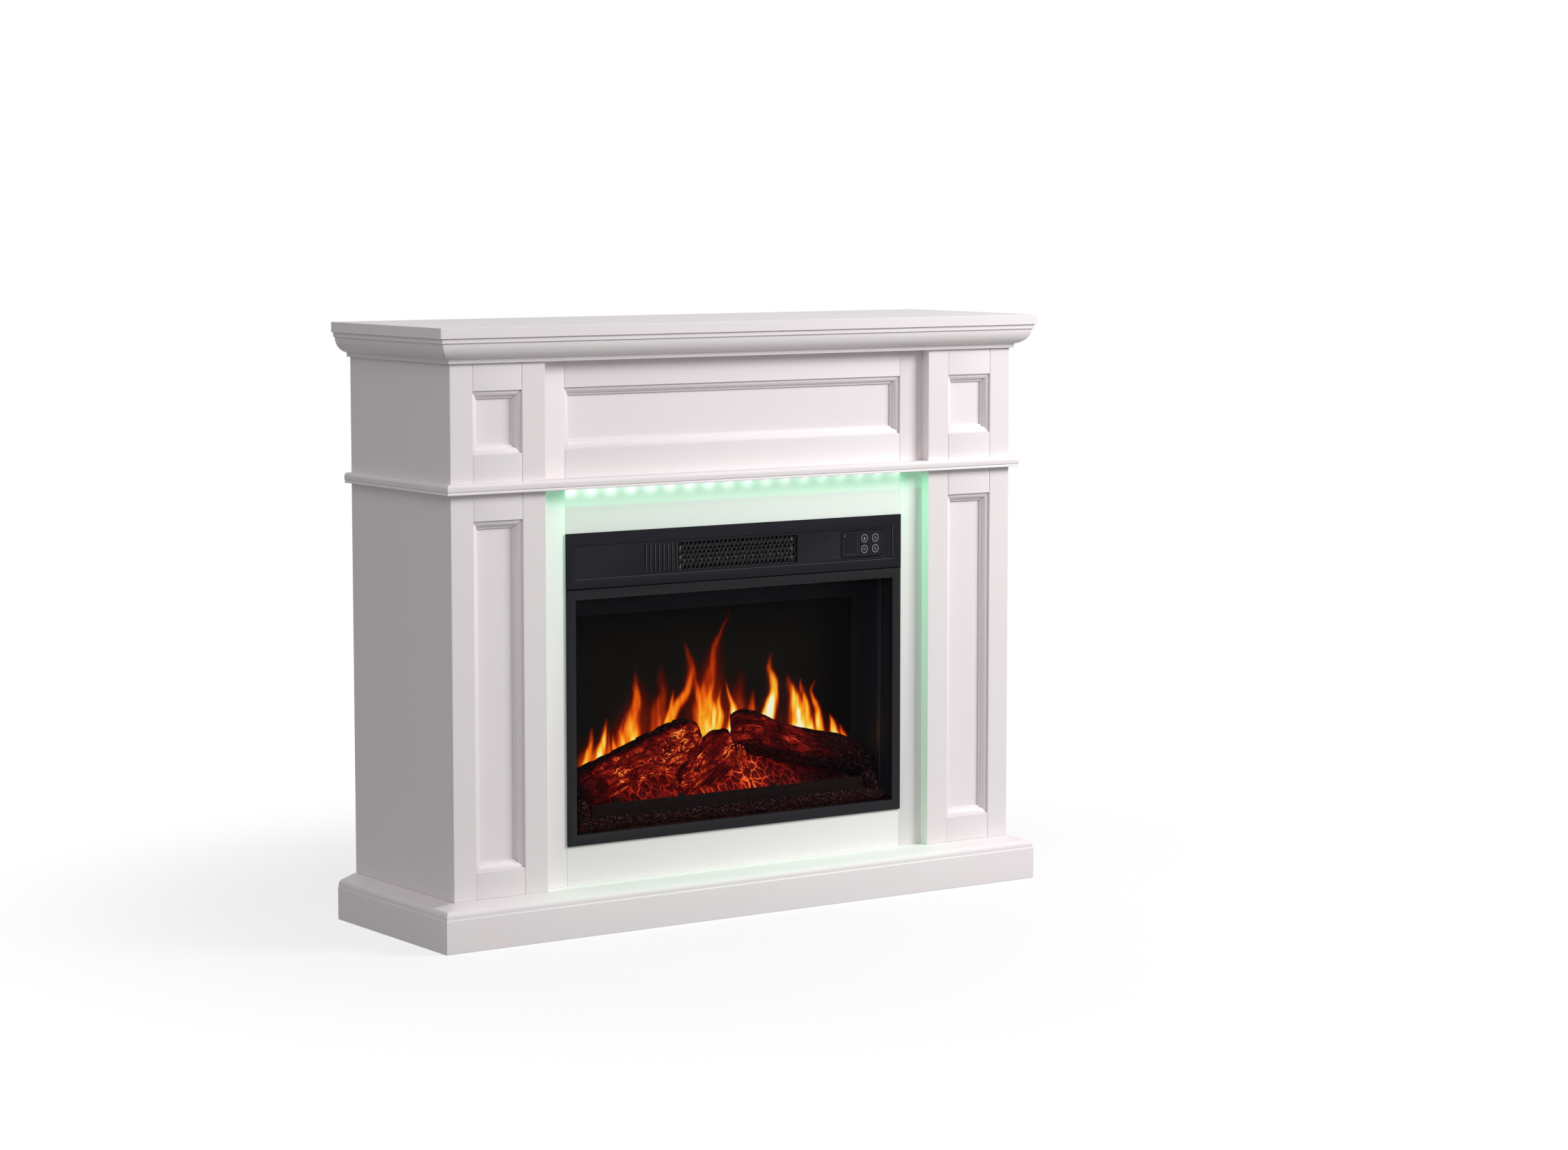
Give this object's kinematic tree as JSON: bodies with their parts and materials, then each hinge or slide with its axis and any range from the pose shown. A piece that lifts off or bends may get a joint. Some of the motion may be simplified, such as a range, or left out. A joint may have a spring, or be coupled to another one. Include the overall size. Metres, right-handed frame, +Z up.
{
  "type": "electric fireplace",
  "caption": "White panelled mantel on a moulded plinth around a black electric insert with a log set, flame screen, fan heater and push buttons.",
  "frame": {"origin": "on the floor, under the middle of the outer box", "axes": "+X to the object's right seen from the front, +Y towards the wall behind, +Z up"},
  "size_m": [1.03, 0.315, 0.8608],
  "materials": {
    "white_paint": "MDF board with a smooth satin white paint",
    "bare_board": "unpainted particle board, sanded",
    "zinc_steel": "zinc plated",
    "black_powder_coat": "fine black powder coat, low sheen",
    "clear_glass": "clear toughened glass",
    "grille_steel": "dark coated expanded steel",
    "control_plastic": "moulded black plastic",
    "display_lens": "tinted gloss lens",
    "button_plastic": "moulded plastic with a light printed ring and sign",
    "circuit_board": "green circuit board",
    "smoked_screen": "smoked diffusing screen",
    "polished_foil": "polished reflecting tabs",
    "motor_casing": "pressed steel casing",
    "black_plastic": "moulded black plastic",
    "log_resin": "translucent resin cast with bark, dark outside and glowing from inside",
    "grate_iron": "matt black",
    "galvanised_sheet": "galvanised sheet",
    "blower_aluminium": "bright aluminium",
    "heater_fins": "bright fins",
    "gland_rubber": "black moulded grommet",
    "green_light": "white strip with green-white light chips",
    "flame_light": "warm light board",
    "flame_glow": "light of the flames on the screen"
  },
  "bodies": {
    "cabinet": {"top_board": "white_paint", "crown_moulding": "white_paint", "belt_moulding": "white_paint", "plinth_moulding": "white_paint", "plinth_deck": "white_paint", "base_bearers": "bare_board", "left_leg_stiles": "white_paint", "left_leg_rails": "white_paint", "left_leg_panels": "white_paint", "left_leg_beads": "white_paint", "right_leg_stiles": "white_paint", "right_leg_rails": "white_paint", "right_leg_panels": "white_paint", "right_leg_beads": "white_paint", "centre_stiles": "white_paint", "frieze_rails": "white_paint", "frieze_panel": "white_paint", "frieze_bead": "white_paint", "header_board": "white_paint", "apron_board": "white_paint", "left_side_panel": "white_paint", "right_side_panel": "white_paint", "partition_boards": "bare_board", "insert_shelf": "bare_board", "back_rails": "bare_board", "assembly_screws": "zinc_steel", "light_strip": "green_light", "light_controller": "black_plastic", "fascia_panel": "black_powder_coat", "window_frame": "black_powder_coat", "front_glass": "clear_glass", "heater_grille": "grille_steel", "control_plate": "control_plastic", "display_window": "display_lens", "control_board": "circuit_board", "housing_sides": "black_powder_coat", "housing_top": "black_powder_coat", "housing_base": "black_powder_coat", "housing_back": "black_powder_coat", "housing_screws": "zinc_steel", "firebox_ceiling": "black_powder_coat", "flame_mask": "black_powder_coat", "flame_screen": "smoked_screen", "rotor_motor": "motor_casing", "rotor_bearing": "black_plastic", "flame_lights": "flame_light", "log_set": "log_resin", "fire_grate": "grate_iron", "blower_housing": "galvanised_sheet", "blower_motor": "motor_casing", "heater_element": "heater_fins", "power_board": "circuit_board", "cord_gland": "gland_rubber"},
    "flame_button": {"button_flame": "button_plastic"},
    "power_button": {"button_power": "button_plastic"},
    "timer_button": {"button_timer": "button_plastic"},
    "heat_button": {"button_heat": "button_plastic"},
    "flame_spindle": {"flame_rotor": "polished_foil"},
    "blower_rotor": {"blower_wheel": "blower_aluminium"}
  },
  "joints": [
    {"name": "flame_press", "type": "slide", "parent": "cabinet", "child": "flame_button", "axis": [0, 1, 0], "range_m": [0, 0.0008], "stiffness_N_per_m": 300},
    {"name": "power_press", "type": "slide", "parent": "cabinet", "child": "power_button", "axis": [0, 1, 0], "range_m": [0, 0.0008], "stiffness_N_per_m": 300},
    {"name": "timer_press", "type": "slide", "parent": "cabinet", "child": "timer_button", "axis": [0, 1, 0], "range_m": [0, 0.0008], "stiffness_N_per_m": 300},
    {"name": "heat_press", "type": "slide", "parent": "cabinet", "child": "heat_button", "axis": [0, 1, 0], "range_m": [0, 0.0008], "stiffness_N_per_m": 300},
    {"name": "spindle_spin", "type": "hinge", "parent": "cabinet", "child": "flame_spindle", "pos_m": [0, -0.0045, 0.1732], "axis": [1, 0, 0], "continuous": true},
    {"name": "blower_spin", "type": "hinge", "parent": "cabinet", "child": "blower_rotor", "pos_m": [0, -0.0495, 0.5254], "axis": [1, 0, 0], "continuous": true}
  ]
}
